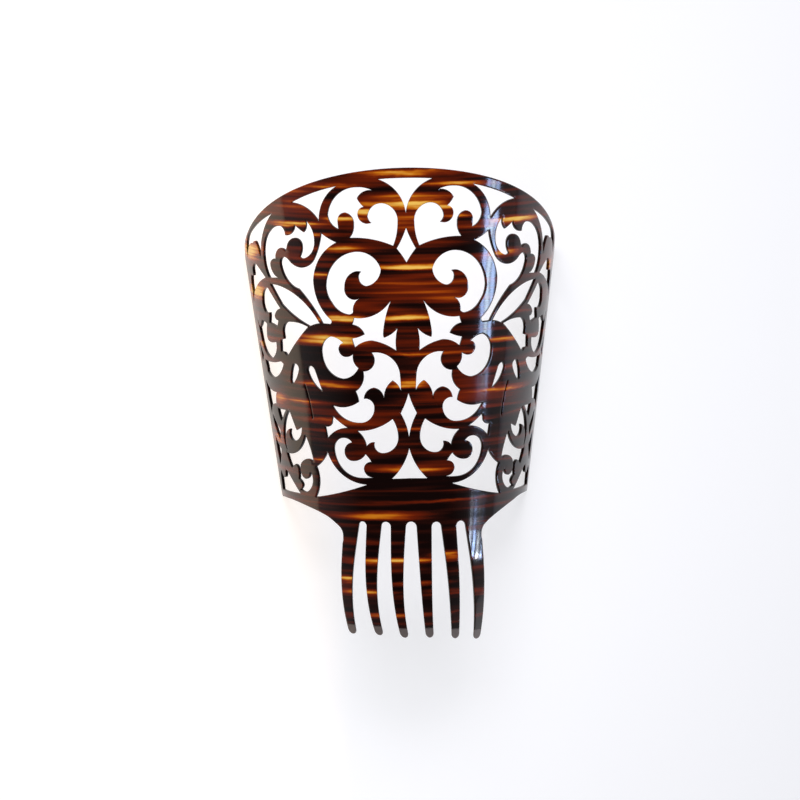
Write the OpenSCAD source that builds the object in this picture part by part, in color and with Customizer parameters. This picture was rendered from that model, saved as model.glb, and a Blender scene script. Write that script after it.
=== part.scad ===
// Pierced back comb: one sheet bent to a half cone, with six tines
// The ornament is drawn on the flat sheet, in millimetres, and wrapped onto the bend.
// It lies on its two side edges, hollow side down, rim towards +Y.

/* [Sheet] */
// Thickness of the sheet
sheet_t = 1.6; // [1.2:0.1:2.4]
// Outer radius of the bend, square to the cone's axis at the ornament's level zero
bend_r = 72.8; // [68:0.1:78]
// Half angle of the cone that the sheet is bent round
cone_a = 7.8; // [6:0.1:9]
// Angle round the cone from the middle to each side edge
edge_a = 82; // [78:1:86]

/* [Rim] */
// Height of the rim's top above level zero, along the sheet
rim_top = 96; // [94:0.5:100]
// Radius of the rim's arch on the flat sheet
rim_r = 168; // [160:1:180]
// Radius of the two upper corners
corner_r = 14; // [8:1:20]

/* [Tines] */
// Level of the tine roots on the flat sheet, on the centre line
root_y = -85.8; // [-88:0.1:-84]
// Drop of the line of roots towards the right, per millimetre
root_lean = 0.027; // [0:0.001:0.05]
// Mean length of a tine from root to tip
tine_len = 58; // [50:0.5:60]
// Mean half width of a tine at its root
tine_w = 4.35; // [3.8:0.05:4.6]
// Half width that a tine loses from root to tip
tine_taper = 2.1; // [1.5:0.1:2.5]
// Length of a tine's rounded tip
tip_len = 2.6; // [2:0.1:4]
// Radius of the inward curve of the tine ends, at the outer face
hook_r = 100; // [80:1:140]
// Radius of the same curve at the inner face, larger so that the tips thin out
hook_inner_r = 108; // [100:1:150]
// Level where the inward curve starts
hook_y = -100; // [-110:1:-95]

/* [Hidden] */
$fn = 96;

shell_top_y = rim_top + 1;
shell_end_y = root_y - tine_len - 7;
// Reach of the cuts beyond the sheet, and the lap between neighbours
clear = 35;
lap = 1;
// Largest turn within one piece of an arc
piece_turn = 12;
// Reach of a punch above and below the outer face, and of those that cut the curved-in tines
punch_out = 1.5;
punch_in = 4.2;
tine_punch_in = 45;
// Angle through which the sheet flares from a tine into the gap's head
flare_turn = 75;
foot_corner_r = 2.5;
rim_pieces = 26;
// Level along the axis up to which the lower outline is cut
cut_top_h = -60;

// Cone sizes: slant from the apex to level zero, and the two faces' offset square to the axis
slant0 = bend_r / sin(cone_a);
height0 = slant0 * cos(cone_a);
wall_r = sheet_t / cos(cone_a);
edge_phi = edge_a * sin(cone_a);

// Rest: both side edges lie on the surface, so the axis tips by this angle
rest_tilt = atan(tan(cone_a) * cos(edge_a));
rest_drop = (bend_r - wall_r) * cos(edge_a) * cos(rest_tilt);
// Middle of the whole length, measured along Y at rest
middle_y = -22.35;

// Openings on one half of the flat sheet. Columns: x, y, bulge of the arc to the next row.
// A bulge is twice the arc's rise over its chord, positive where it swells the opening.
CREST_SCROLL = [
    [17.2, 84.9, -0.32], [24.9, 80.8, -0.12], [21.5, 76.5, -0.42], [24.7, 72.4, -0.37],
    [20, 67.9, -0.05], [17.5, 68.3, 0.2], [19.5, 71.5, 0.42], [11.9, 78.2, 0.41],
    [4.3, 68.5, 0.1], [6.7, 56.8, -0.12], [29, 60.8, -0.21], [26.7, 67.5, -0.4],
    [31.4, 73.6, -0.39], [35.4, 69.8, -0.03], [35, 65.3, 0.3], [40.9, 72.3, 0.38],
    [24.6, 86.3, 0.12]];
RIM_SPANDREL = [[45.9, 68.9, -0.245], [62.5, 78, 0.055], [36, 86.7, -0.275]];
SIDE_SCROLL = [
    [53.9, 69.3, 0.24], [48.9, 58.8, 0.37], [55.8, 49.8, 0.2], [58.2, 50.5, -0.19],
    [56.6, 55.8, -0.42], [60.8, 60.1, -0.36], [67, 55, -0.1], [67.6, 52.7, -0.28],
    [72, 54.4, -0.37], [76, 48.5, -0.41], [80.8, 45.6, -0.32], [75, 39, 0],
    [82, 38.4, 0.19], [86.2, 48, 0.28], [79.5, 62.7, 0.18], [70.8, 65.5, 0.35],
    [67.8, 61, -0.45], [61.1, 66.7, -0.05], [55.2, 63, -0.3]];
RIM_SLIVER = [
    [77.3, 71.6, -0.14], [88.3, 56, 0], [89.6, 48.2, 0], [91.3, 51.5, -0.1],
    [94.5, 56.2, -0.3], [98, 54.8, -0.25], [104, 52.5, -0.15], [107, 46.6, 0],
    [108.6, 50, 0.2], [101, 60, 0.05]];
HEART_SCROLL = [
    [13.2, 45, 0.35], [20.6, 36.5, 0.39], [24.6, 40.5, 0.3], [23.2, 43.7, -0.1],
    [26, 44, -0.36], [32.3, 36, -0.47], [27, 29.4, -0.1], [24.9, 30, -0.3],
    [27.9, 23.2, 0.25], [30.5, 22.1, 0.23], [39.6, 28, 0.17], [42.7, 36, 0.38],
    [26, 53.7, 0.36]];
NECK_GAP = [
    [44.8, 63, -0.08], [36.4, 58.4, -0.27], [50.1, 39, -0.23], [40, 18.9, 0.45],
    [40.7, 17, 0], [45, 17.2, -0.08], [59.8, 34.2, 0.3], [72, 46, 0.4],
    [69, 49.9, 0.15], [65.8, 48.4, -0.2], [57.5, 44.9, -0.24], [49.5, 49.2, -0.1]];
STAR_GAP = [
    [8.4, 28.9, -0.08], [12.5, 12.5, -0.1], [12.1, 10.3, -0.15], [5.2, 14.9, -0.1],
    [5.9, 3.8, -0.12], [18.3, 9, -0.19], [27.2, 5.4, 0.05], [28.7, 9.8, -0.1],
    [22, 12, -0.28], [28.5, 17, -0.08], [27.5, 20.3, -0.29]];
CRESCENT = [
    [33.6, 7.5, -0.4], [36.2, 4.2, -0.4], [32, 0.4, -0.2], [28.4, 1.9, -0.3],
    [25.6, -5.1, 0.27], [34, -10.6, 0.37], [46, 1.5, 0.39], [40.5, 10.6, 0.18]];
BUD_SCROLL = [
    [18.5, 2.7, 0.46], [4.2, -9, 0.03], [3.9, -16.3, -0.2], [8, -11.3, -0.26],
    [12.5, -20.3, -0.36], [17.8, -14.9, -0.36], [23, -20.7, 0.5], [17.6, -25.3, 0.44],
    [25.5, -32.8, 0.28], [40.4, -24.3, -0.25], [25.6, -22.2, -0.1], [27.3, -17, -0.25],
    [22.8, -9.3, -0.05], [23.1, -6.8, -0.42], [17, -1.3, -0.2]];
LONG_LEAF = [[47, 17.1, -0.1], [52.8, 15.5, 0.06], [72.8, 25.6, 0], [81.5, 35.1, 0.27]];
STEP_LEAF = [
    [54.4, 14.9, -0.03], [69.6, -0.6, 0.2], [72, 1, 0], [75.2, 1.2, 0],
    [75, 6.9, 0], [71.8, 7.8, 0.05], [72.4, 11, 0.45], [66.5, 16.8, 0.11]];
FAN = [
    [86.4, 38.1, -0.12], [101.5, 29.5, -0.1], [104.3, 24, 0], [105.6, 33, 0.05],
    [104.4, 37.7, -0.1], [100.4, 37.8, 0.1], [101, 41, 0.4], [96.2, 44.2, 0.05]];
FIN_LEAF = [
    [74.2, 23.2, -0.27], [79.5, 19, -0.4], [76.5, 16.8, 0.05], [77.6, 13.6, -0.05],
    [85, 15.1, -0.05], [84, 20.3, 0], [88.3, 20, 0.33], [91.3, 26, 0.43],
    [84.6, 32.9, 0]];
BOOT = [
    [79.6, 5.4, 0.05], [79.5, 2.5, 0.25], [84.8, -3.3, 0.3], [97, 4.2, 0],
    [100.8, 15.5, -0.1], [98, 11.2, -0.1], [94, 15.3, 0.1], [88.3, 14, -0.1],
    [89.3, 6.3, -0.15], [84.5, 4.7, -0.05]];
EDGE_SLIT = [[101, 3, -0.1], [96.5, -3, 0.1], [99.3, -6.3, 0]];
CUP = [
    [74, -5.4, 0.26], [83.5, -13, 0.22], [92.5, -10.8, -0.05], [92.2, -9, 0.1],
    [94.2, -5.2, -0.1], [77, -4.4, 0.2]];
SHIELD = [
    [97, -16.3, -0.1], [90.5, -20.2, -0.1], [83.3, -20.9, -0.15], [84.6, -27, -0.1],
    [90, -28, 0], [92.3, -32, 0.05], [95.3, -24, 0]];
INNER_DROP = [[46.3, -17.5, 0.2], [55.3, -7.5, 0.5], [52.8, -5, 0.2], [50.6, -7, 0]];
OUTER_DROP = [[63.9, -4.5, 0.35], [61.6, -7, 0.16], [66.6, -15, 0.05], [68, -14, 0.12],
    [65.6, -5, 0.35]];
VEIN = [[57.4, -14.5, 0.06], [52.6, -32, 0], [53.3, -32, -0.06], [58.1, -14.5, 0]];
FANG = [[74.8, -29.2, 0], [79.6, -35.4, 0.1], [82.8, -29, -0.05]];
EDGE_LEAF = [[90.6, -33.4, 0], [82.4, -40.4, 0.15], [83, -45.6, 0.05], [89.2, -38.5, 0.1]];
EDGE_DART = [[90.2, -44.4, -0.05], [83, -50.5, 0.1], [86.4, -58.6, 0], [89, -51.5, 0]];
HOOK_SCROLL = [
    [71.2, -28.9, 0], [65.7, -38.8, 0], [61.4, -36.9, 0.4], [67.5, -44.3, 0.4],
    [71.8, -41, 0.05], [71, -38.4, -0.35], [76.4, -43.8, -0.15], [75, -50, 0.15],
    [78.4, -43, 0.21]];
SMALL_HORN = [
    [32.2, -35.5, -0.22], [43.9, -41.4, 0], [45.2, -35.2, -0.6], [40.8, -32, -0.05],
    [40.3, -29.9, -0.05]];
LOBED_HEART = [
    [8.3, -30.9, 0.13], [5.6, -39.5, 0.44], [13.5, -48.1, 0.42], [17.9, -44, 0],
    [17.7, -42.6, -0.32], [21.9, -44.8, -0.21], [26.8, -37, -0.18]];
FOOT_SCROLL = [
    [29.8, -42.9, -0.42], [34, -48, -0.43], [29, -52.4, -0.27], [22.6, -48.8, 0.08],
    [19.6, -52.6, -0.4], [23.6, -56, -0.45], [18.3, -60.5, 0.05], [26, -60.8, 0.36],
    [40, -47.5, 0.48], [34, -40.8, 0.25]];
BASE_FAN = [
    [22.2, -64.3, 0.045], [52.9, -71.9, -0.28], [51.9, -56.4, -0.17], [44.2, -48.2, -0.3]];
BUD_PAIR = [
    [59, -40.2, 0.08], [53.5, -54, -0.2], [58.3, -52.8, -0.19], [63.5, -55.8, -0.2],
    [63.3, -61, -0.3], [59.8, -63.4, -0.3], [56.4, -60.8, 0], [55.6, -59.2, 0.1],
    [54.6, -63.5, 0.35], [60.3, -70, 0.1], [64.6, -69.1, -0.3], [62.6, -66.6, -0.25],
    [65.6, -63.8, -0.12], [65.6, -58.5, -0.35], [68.2, -56.4, -0.2], [71.4, -59, 0.1],
    [76.3, -51.2, -0.42]];
FOOT_CORNER = [
    [65.3, -71.4, 0], [87, -72, 0], [87.4, -64, 0.1], [85.6, -61.8, 0],
    [83.6, -65.2, -0.1], [80, -64.5, 0], [79.4, -60.6, 0.1], [77, -61.3, 0]];

SIDE_OPENINGS = [
    CREST_SCROLL, RIM_SPANDREL, SIDE_SCROLL, RIM_SLIVER, HEART_SCROLL, NECK_GAP, STAR_GAP,
    CRESCENT, BUD_SCROLL, LONG_LEAF, STEP_LEAF, FAN, FIN_LEAF, BOOT, EDGE_SLIT, CUP, SHIELD,
    INNER_DROP, OUTER_DROP, VEIN, FANG, EDGE_LEAF, EDGE_DART, HOOK_SCROLL, SMALL_HORN,
    LOBED_HEART, FOOT_SCROLL, BASE_FAN, BUD_PAIR, FOOT_CORNER];

// Right half of each opening on the centre line, from its foot to its head, same columns
CROWN = [[0, 73.2, -0.3], [13.8, 90.3, 0.02], [0, 90.8, 0]];
UPPER_DIAMOND = [[0, 48.3, -0.05], [4.8, 55.3, -0.05], [0, 65.6, 0]];
LOWER_DIAMOND = [[0, -40, -0.1], [4.1, -28, -0.06], [0, -17.9, 0]];
BASE_TRIANGLE = [[0, -61, 0], [9, -61.2, -0.15], [0, -45.8, 0]];
CENTRE_OPENINGS = [CROWN, UPPER_DIAMOND, LOWER_DIAMOND, BASE_TRIANGLE];

// Lower outline from the side edge in towards the outer tine.
// Columns: distance from the centre line, level on the left, level on the right.
SHOULDER = [
    [95, -76.5, -76.6], [85, -75.8, -75.6], [76, -75.6, -75.3], [70, -75.9, -75.9],
    [65, -76.5, -77.1], [60, -77.35, -78.4], [55, -78.4, -80.05], [51, -79.45, -81.6],
    [47.5, -80.6, -83.15], [44, -82.1, -85]];
// The same outline on down into the outer tines.
// Columns: level, distance from the centre line on the left and on the right.
NECK = [
    [-93, 36, 39.45], [-90.2, 36, 39.55], [-88.4, 36.4, 40.2], [-87, 37.3, 41.2],
    [-85.7, 38.6, 43]];

// Tines from left to right. Columns: root x, splay, sweep of the tip, width factor, length factor
TINES = [
    [-31.1, -8.5, 3.6, 0.98, 0.99], [-18.8, -5.6, 5.4, 0.905, 0.985], [-6.2, -2.9, 5, 0.895, 1],
    [7, 1.2, 2.7, 0.895, 1], [20.1, 5.6, 1.8, 0.935, 1.02], [34.4, 8.3, 2.6, 1.09, 1.05]];
tine_steps = 14;
hook_steps = 10;

// Points of the arc from knot a to knot b, without b
function arc_points(a, b, bulge) =
    let (dx = b[0] - a[0], dy = b[1] - a[1], turn = 4 * atan(bulge),
        n = bulge == 0 ? 1 : 1 + ceil(abs(turn) / piece_turn),
        off = bulge == 0 ? 0 : 1 / tan(turn / 2) / 2,
        cx = (a[0] + b[0]) / 2 - off * dy, cy = (a[1] + b[1]) / 2 + off * dx)
    [for (i = [0:n - 1]) let (t = turn * i / n)
        i == 0 ? [a[0], a[1]] :
            [cx + (a[0] - cx) * cos(t) - (a[1] - cy) * sin(t),
             cy + (a[0] - cx) * sin(t) + (a[1] - cy) * cos(t)]];
function closed_outline(rows) =
    [for (i = [0:len(rows) - 1])
        each arc_points(rows[i], rows[(i + 1) % len(rows)], rows[i][2])];
function mirrored_rows(half) =
    let (n = len(half) - 1)
    concat([for (i = [0:n - 1]) half[i]],
        [for (i = [n:-1:1]) [-half[i][0], half[i][1], half[i - 1][2]]]);
function mean_of(rows) =
    [for (k = [0, 1]) (max([for (r = rows) r[k]]) + min([for (r = rows) r[k]])) / 2];

// Flat sheet to cone: slant from the apex, and angle round the axis
function slant(p) = sqrt(p[0] * p[0] + (p[1] + slant0) * (p[1] + slant0));
function round_angle(p) = atan2(p[0], p[1] + slant0) / sin(cone_a);
// Place of p on the plane that touches the cone at c
function on_plane(p, c) =
    let (s = slant(p), turn = round_angle(p) - round_angle(c), r = s * sin(cone_a))
    [r * sin(turn), s * cos(cone_a) * cos(cone_a) + r * cos(turn) * sin(cone_a) - slant(c)];

module at_sheet(c) {
    rotate([0, round_angle(c), 0])
        translate([0, slant(c) * cos(cone_a) - height0, slant(c) * sin(cone_a)])
            rotate([cone_a, 0, 0]) children();
}

// One cut, square to the sheet at point c
module punch(points, c, depth = punch_in) {
    at_sheet(c)
        translate([0, 0, -depth])
            linear_extrude(height = depth + punch_out)
                polygon([for (p = points) on_plane(p, c)]);
}

module opening(rows) {
    points = closed_outline(rows);
    punch(points, mean_of(points));
}

module both_sides() {
    children();
    mirror([1, 0, 0]) children();
}

// Rim and upper corners: a swelling outline, so one straight cut to each of its short pieces
function rim_point(a) = [rim_r * sin(a), rim_top - rim_r + rim_r * cos(a)];
// Angle about the arch's middle where the rim would meet the side edge
rim_end = edge_phi + asin((slant0 + rim_top - rim_r) * sin(edge_phi) / rim_r);
corner_turn = 90 - rim_end + edge_phi;
corner_reach = corner_r * tan(corner_turn / 2);
arch_end = rim_end - corner_reach / rim_r * 180 / PI;
corner_low = rim_point(rim_end) - corner_reach * [sin(edge_phi), cos(edge_phi)];
rim_corner = concat(arc_points(corner_low, rim_point(arch_end), tan(corner_turn / 4)),
    [rim_point(arch_end)]);
// Lower corner, between the shoulder and the side edge
foot_y = (SHOULDER[0][1] + SHOULDER[1][1]) / 2;
foot_turn = 90 - edge_phi;
foot_reach = foot_corner_r * tan(foot_turn / 2);
foot_point = (foot_y + slant0) * [tan(edge_phi), 1] - [0, slant0];
foot_in = foot_point - [foot_reach, 0];
foot_up = foot_point + foot_reach * [sin(edge_phi), cos(edge_phi)];
foot_corner = concat(arc_points(foot_in, foot_up, tan(foot_turn / 4)), [foot_up]);

// All that lies on the right of the line from a to b, as far as the reach of the cuts
module chord_piece(a, b, depth) {
    along = (b - a) / norm(b - a);
    out = [along[1], -along[0]];
    punch([a - lap * along, b + lap * along, b + lap * along + clear * (out + along * 0.1),
        a - lap * along + clear * (out - along * 0.1)], (a + b) / 2, depth);
}

module chord_pieces(points, depth = punch_in) {
    for (i = [0:len(points) - 2]) chord_piece(points[i], points[i + 1], depth);
}

module rim_cut() {
    chord_pieces([for (i = [0:rim_pieces]) rim_point(arch_end * (1 - 2 * i / rim_pieces))]);
    both_sides() {
        chord_pieces(rim_corner);
        chord_pieces(foot_corner);
    }
}

// Tine k at u, 0 at the root and 1 at the tip: middle line, half width and level
function tine_mid(k, u) = TINES[k][0] + TINES[k][1] * u + TINES[k][2] * pow(u, 3);
function tip_share(k) = tip_len / tine_len / TINES[k][4];
function tine_half(k, u) =
    let (v = max(0, (u - 1) / tip_share(k) + 1))
    TINES[k][3] * (tine_w - tine_taper * u) * sqrt(max(0, 1 - v * v));
function tine_root(k) = root_y - root_lean * TINES[k][0];
function tine_us(k) =
    concat([for (i = [0:tine_steps - 1]) i / tine_steps * (1 - tip_share(k))],
        [for (i = [0:5]) 1 - tip_share(k) * (1 - sin(i * 18))]);
// Edge of tine k from root to tip, out = -1 on the left and 1 on the right
function tine_edge(k, out) =
    [for (u = tine_us(k)) [tine_mid(k, u) + out * tine_half(k, u),
        tine_root(k) - TINES[k][4] * tine_len * u]];
function reversed(list) = [for (i = [len(list) - 1:-1:0]) list[i]];
function shoulder(out) = [for (row = SHOULDER) [out * row[0], row[out < 0 ? 1 : 2]]];

// From a tine's root up into the round head of the gap beside it, ending past the middle
function flare(root, r, dir) =
    let (a = root + r * [dir * (1 - cos(flare_turn)), sin(flare_turn)])
    concat([for (t = [15:15:flare_turn]) root + r * [dir * (1 - cos(t)), sin(t)]],
        [a + (r * cos(flare_turn) + 2 * lap) * [dir, 1 / tan(flare_turn)]]);
function gap_flare(k, out) =
    let (root = tine_edge(k, out)[0], other = tine_edge(k + out, -out)[0])
    flare(root, abs(other[0] - root[0]) / 2, out);
// From an outer tine up the neck and on past the end of the shoulder
function neck(out) =
    let (rows = [for (row = NECK) [out * row[out < 0 ? 1 : 2], row[0]]],
        last = rows[len(rows) - 1], end = shoulder(out)[len(SHOULDER) - 1],
        along = (end - last) / norm(end - last))
    concat(rows, [end + 3 * lap * along]);
// Edge of tine k from its tip up to the sheet that carries it
function whole_edge(k, out) =
    let (edge = reversed(tine_edge(k, out)), outermost = k == (out < 0 ? 0 : len(TINES) - 1))
    outermost ? concat([for (p = edge) if (p[1] < NECK[0][0] - lap) p], neck(out)) :
        concat(edge, gap_flare(k, out));

// One tine and the sheet above it, square to the sheet at the tine
module tine_piece(k) {
    left = whole_edge(k, -1);
    right = whole_edge(k, 1);
    top = root_y + clear;
    punch(concat(reversed(left), [for (i = [1:len(right) - 1]) right[i]],
        [[right[len(right) - 1][0], top], [left[len(left) - 1][0], top]]),
        [TINES[k][0], tine_root(k)], tine_punch_in);
}

// All below the body but the tines and the sheet that carries them
module lower_cut() {
    difference() {
        translate([-3 * clear, -slant0, -clear])
            cube([6 * clear, slant0 + cut_top_h, 4 * clear]);
        for (k = [0:len(TINES) - 1]) tine_piece(k);
        chord_pieces(shoulder(1), clear);
        chord_pieces(reversed(shoulder(-1)), clear);
    }
}

// Section of the bent sheet beside the cone's axis: straight down to the hook, then curved in
along_cone = [sin(cone_a), cos(cone_a)];
into_cone = [-cos(cone_a), sin(cone_a)];
// One face of the hook from the bend down, at the given depth in the sheet
function hook_line(depth, r) =
    let (reach = hook_y - shell_end_y)
    [for (i = [0:hook_steps]) let (s = reach * i / hook_steps)
        (slant0 + hook_y - s) * along_cone + (depth + r - sqrt(r * r - s * s)) * into_cone];

module section() {
    top = (slant0 + shell_top_y) * along_cone;
    polygon(concat([top + sheet_t * into_cone, top], hook_line(0, hook_r),
        reversed(hook_line(sheet_t, hook_inner_r))));
}

module bent_sheet() {
    // Turned so that the cone's axis is Y and the middle of the sheet faces +Z
    rotate([-90, 0, 0]) translate([0, 0, -height0])
        rotate([0, 0, -90 - edge_a]) rotate_extrude(angle = 2 * edge_a) section();
}

module comb() {
    color([0.27, 0.1, 0.05])
        translate([0, -middle_y, -rest_drop])
            rotate([-rest_tilt, 0, 0])
                difference() {
                    bent_sheet();
                    rim_cut();
                    lower_cut();
                    for (rows = CENTRE_OPENINGS) opening(mirrored_rows(rows));
                    for (rows = SIDE_OPENINGS) both_sides() opening(rows);
                }
}

comb();
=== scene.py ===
"""Pierced back comb: one sheet of tortoiseshell acetate sawn flat, then bent to a half cone.

The blank is drawn on the flat sheet in millimetres, in the CAD source's own coordinates:
x to the right, y up from level zero. A geometry nodes tree bends it.
"""
import math
from functools import partial

import bmesh
import bpy
from bpy.props import FloatProperty, FloatVectorProperty, PointerProperty
from mathutils import Matrix, Vector
from mathutils.bvhtree import BVHTree
from mathutils.geometry import delaunay_2d_cdt


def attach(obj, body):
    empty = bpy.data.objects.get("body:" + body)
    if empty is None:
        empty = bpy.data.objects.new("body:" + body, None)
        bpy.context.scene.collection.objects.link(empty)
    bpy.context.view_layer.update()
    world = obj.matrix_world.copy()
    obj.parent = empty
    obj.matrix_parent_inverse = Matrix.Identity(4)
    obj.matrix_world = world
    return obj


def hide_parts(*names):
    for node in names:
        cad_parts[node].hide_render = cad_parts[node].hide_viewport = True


bl_info = {
    "name": "Pierced back comb",
    "version": (1, 0, 0),
    "blender": (4, 5, 0),
    "location": "3D View > Sidebar > Comb",
    "description": "Saws, bends and finishes a pierced tortoiseshell back comb",
    "category": "Object",
}

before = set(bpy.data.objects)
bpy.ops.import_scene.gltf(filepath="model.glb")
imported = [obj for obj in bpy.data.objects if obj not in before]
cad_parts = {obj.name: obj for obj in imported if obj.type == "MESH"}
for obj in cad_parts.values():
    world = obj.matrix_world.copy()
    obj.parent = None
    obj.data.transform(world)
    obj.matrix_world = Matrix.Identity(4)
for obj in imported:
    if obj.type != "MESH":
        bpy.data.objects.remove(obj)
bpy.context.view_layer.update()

MM = 0.001
NODE = "comb"
BLANK_NAME = "comb_blank"
PIECE_NAME = "comb_sheet"
MATH = "ShaderNodeMath"
VECTOR = "ShaderNodeVectorMath"
MIX = "ShaderNodeMix"

# The drawing on the flat sheet, in millimetres

# Openings on one half. Columns: x, y, bulge of the arc to the next row (twice rise over chord).
CREST_SCROLL = [
    (17.2, 84.9, -0.32), (24.9, 80.8, -0.12), (21.5, 76.5, -0.42), (24.7, 72.4, -0.37),
    (20, 67.9, -0.05), (17.5, 68.3, 0.2), (19.5, 71.5, 0.42), (11.9, 78.2, 0.41),
    (4.3, 68.5, 0.1), (6.7, 56.8, -0.12), (29, 60.8, -0.21), (26.7, 67.5, -0.4),
    (31.4, 73.6, -0.39), (35.4, 69.8, -0.03), (35, 65.3, 0.3), (40.9, 72.3, 0.38),
    (24.6, 86.3, 0.12)]
RIM_SPANDREL = [(45.9, 68.9, -0.245), (62.5, 78, 0.055), (36, 86.7, -0.275)]
SIDE_SCROLL = [
    (53.9, 69.3, 0.24), (48.9, 58.8, 0.37), (55.8, 49.8, 0.2), (58.2, 50.5, -0.19),
    (56.6, 55.8, -0.42), (60.8, 60.1, -0.36), (67, 55, -0.1), (67.6, 52.7, -0.28),
    (72, 54.4, -0.37), (76, 48.5, -0.41), (80.8, 45.6, -0.32), (75, 39, 0),
    (82, 38.4, 0.19), (86.2, 48, 0.28), (79.5, 62.7, 0.18), (70.8, 65.5, 0.35),
    (67.8, 61, -0.45), (61.1, 66.7, -0.05), (55.2, 63, -0.3)]
RIM_SLIVER = [
    (77.3, 71.6, -0.14), (88.3, 56, 0), (89.6, 48.2, 0), (91.3, 51.5, -0.1),
    (94.5, 56.2, -0.3), (98, 54.8, -0.25), (104, 52.5, -0.15), (107, 46.6, 0),
    (108.6, 50, 0.2), (101, 60, 0.05)]
HEART_SCROLL = [
    (13.2, 45, 0.35), (20.6, 36.5, 0.39), (24.6, 40.5, 0.3), (23.2, 43.7, -0.1),
    (26, 44, -0.36), (32.3, 36, -0.47), (27, 29.4, -0.1), (24.9, 30, -0.3),
    (27.9, 23.2, 0.25), (30.5, 22.1, 0.23), (39.6, 28, 0.17), (42.7, 36, 0.38),
    (26, 53.7, 0.36)]
NECK_GAP = [
    (44.8, 63, -0.08), (36.4, 58.4, -0.27), (50.1, 39, -0.23), (40, 18.9, 0.45),
    (40.7, 17, 0), (45, 17.2, -0.08), (59.8, 34.2, 0.3), (72, 46, 0.4),
    (69, 49.9, 0.15), (65.8, 48.4, -0.2), (57.5, 44.9, -0.24), (49.5, 49.2, -0.1)]
STAR_GAP = [
    (8.4, 28.9, -0.08), (12.5, 12.5, -0.1), (12.1, 10.3, -0.15), (5.2, 14.9, -0.1),
    (5.9, 3.8, -0.12), (18.3, 9, -0.19), (27.2, 5.4, 0.05), (28.7, 9.8, -0.1),
    (22, 12, -0.28), (28.5, 17, -0.08), (27.5, 20.3, -0.29)]
CRESCENT = [
    (33.6, 7.5, -0.4), (36.2, 4.2, -0.4), (32, 0.4, -0.2), (28.4, 1.9, -0.3),
    (25.6, -5.1, 0.27), (34, -10.6, 0.37), (46, 1.5, 0.39), (40.5, 10.6, 0.18)]
BUD_SCROLL = [
    (18.5, 2.7, 0.46), (4.2, -9, 0.03), (3.9, -16.3, -0.2), (8, -11.3, -0.26),
    (12.5, -20.3, -0.36), (17.8, -14.9, -0.36), (23, -20.7, 0.5), (17.6, -25.3, 0.44),
    (25.5, -32.8, 0.28), (40.4, -24.3, -0.25), (25.6, -22.2, -0.1), (27.3, -17, -0.25),
    (22.8, -9.3, -0.05), (23.1, -6.8, -0.42), (17, -1.3, -0.2)]
LONG_LEAF = [(47, 17.1, -0.1), (52.8, 15.5, 0.06), (72.8, 25.6, 0), (81.5, 35.1, 0.27)]
STEP_LEAF = [
    (54.4, 14.9, -0.03), (69.6, -0.6, 0.2), (72, 1, 0), (75.2, 1.2, 0),
    (75, 6.9, 0), (71.8, 7.8, 0.05), (72.4, 11, 0.45), (66.5, 16.8, 0.11)]
FAN = [
    (86.4, 38.1, -0.12), (101.5, 29.5, -0.1), (104.3, 24, 0), (105.6, 33, 0.05),
    (104.4, 37.7, -0.1), (100.4, 37.8, 0.1), (101, 41, 0.4), (96.2, 44.2, 0.05)]
FIN_LEAF = [
    (74.2, 23.2, -0.27), (79.5, 19, -0.4), (76.5, 16.8, 0.05), (77.6, 13.6, -0.05),
    (85, 15.1, -0.05), (84, 20.3, 0), (88.3, 20, 0.33), (91.3, 26, 0.43),
    (84.6, 32.9, 0)]
BOOT = [
    (79.6, 5.4, 0.05), (79.5, 2.5, 0.25), (84.8, -3.3, 0.3), (97, 4.2, 0),
    (100.8, 15.5, -0.1), (98, 11.2, -0.1), (94, 15.3, 0.1), (88.3, 14, -0.1),
    (89.3, 6.3, -0.15), (84.5, 4.7, -0.05)]
EDGE_SLIT = [(101, 3, -0.1), (96.5, -3, 0.1), (99.3, -6.3, 0)]
CUP = [
    (74, -5.4, 0.26), (83.5, -13, 0.22), (92.5, -10.8, -0.05), (92.2, -9, 0.1),
    (94.2, -5.2, -0.1), (77, -4.4, 0.2)]
SHIELD = [
    (97, -16.3, -0.1), (90.5, -20.2, -0.1), (83.3, -20.9, -0.15), (84.6, -27, -0.1),
    (90, -28, 0), (92.3, -32, 0.05), (95.3, -24, 0)]
INNER_DROP = [(46.3, -17.5, 0.2), (55.3, -7.5, 0.5), (52.8, -5, 0.2), (50.6, -7, 0)]
OUTER_DROP = [
    (63.9, -4.5, 0.35), (61.6, -7, 0.16), (66.6, -15, 0.05), (68, -14, 0.12),
    (65.6, -5, 0.35)]
VEIN = [(57.4, -14.5, 0.06), (52.6, -32, 0), (53.3, -32, -0.06), (58.1, -14.5, 0)]
FANG = [(74.8, -29.2, 0), (79.6, -35.4, 0.1), (82.8, -29, -0.05)]
EDGE_LEAF = [(90.6, -33.4, 0), (82.4, -40.4, 0.15), (83, -45.6, 0.05), (89.2, -38.5, 0.1)]
EDGE_DART = [(90.2, -44.4, -0.05), (83, -50.5, 0.1), (86.4, -58.6, 0), (89, -51.5, 0)]
HOOK_SCROLL = [
    (71.2, -28.9, 0), (65.7, -38.8, 0), (61.4, -36.9, 0.4), (67.5, -44.3, 0.4),
    (71.8, -41, 0.05), (71, -38.4, -0.35), (76.4, -43.8, -0.15), (75, -50, 0.15),
    (78.4, -43, 0.21)]
SMALL_HORN = [
    (32.2, -35.5, -0.22), (43.9, -41.4, 0), (45.2, -35.2, -0.6), (40.8, -32, -0.05),
    (40.3, -29.9, -0.05)]
LOBED_HEART = [
    (8.3, -30.9, 0.13), (5.6, -39.5, 0.44), (13.5, -48.1, 0.42), (17.9, -44, 0),
    (17.7, -42.6, -0.32), (21.9, -44.8, -0.21), (26.8, -37, -0.18)]
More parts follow.
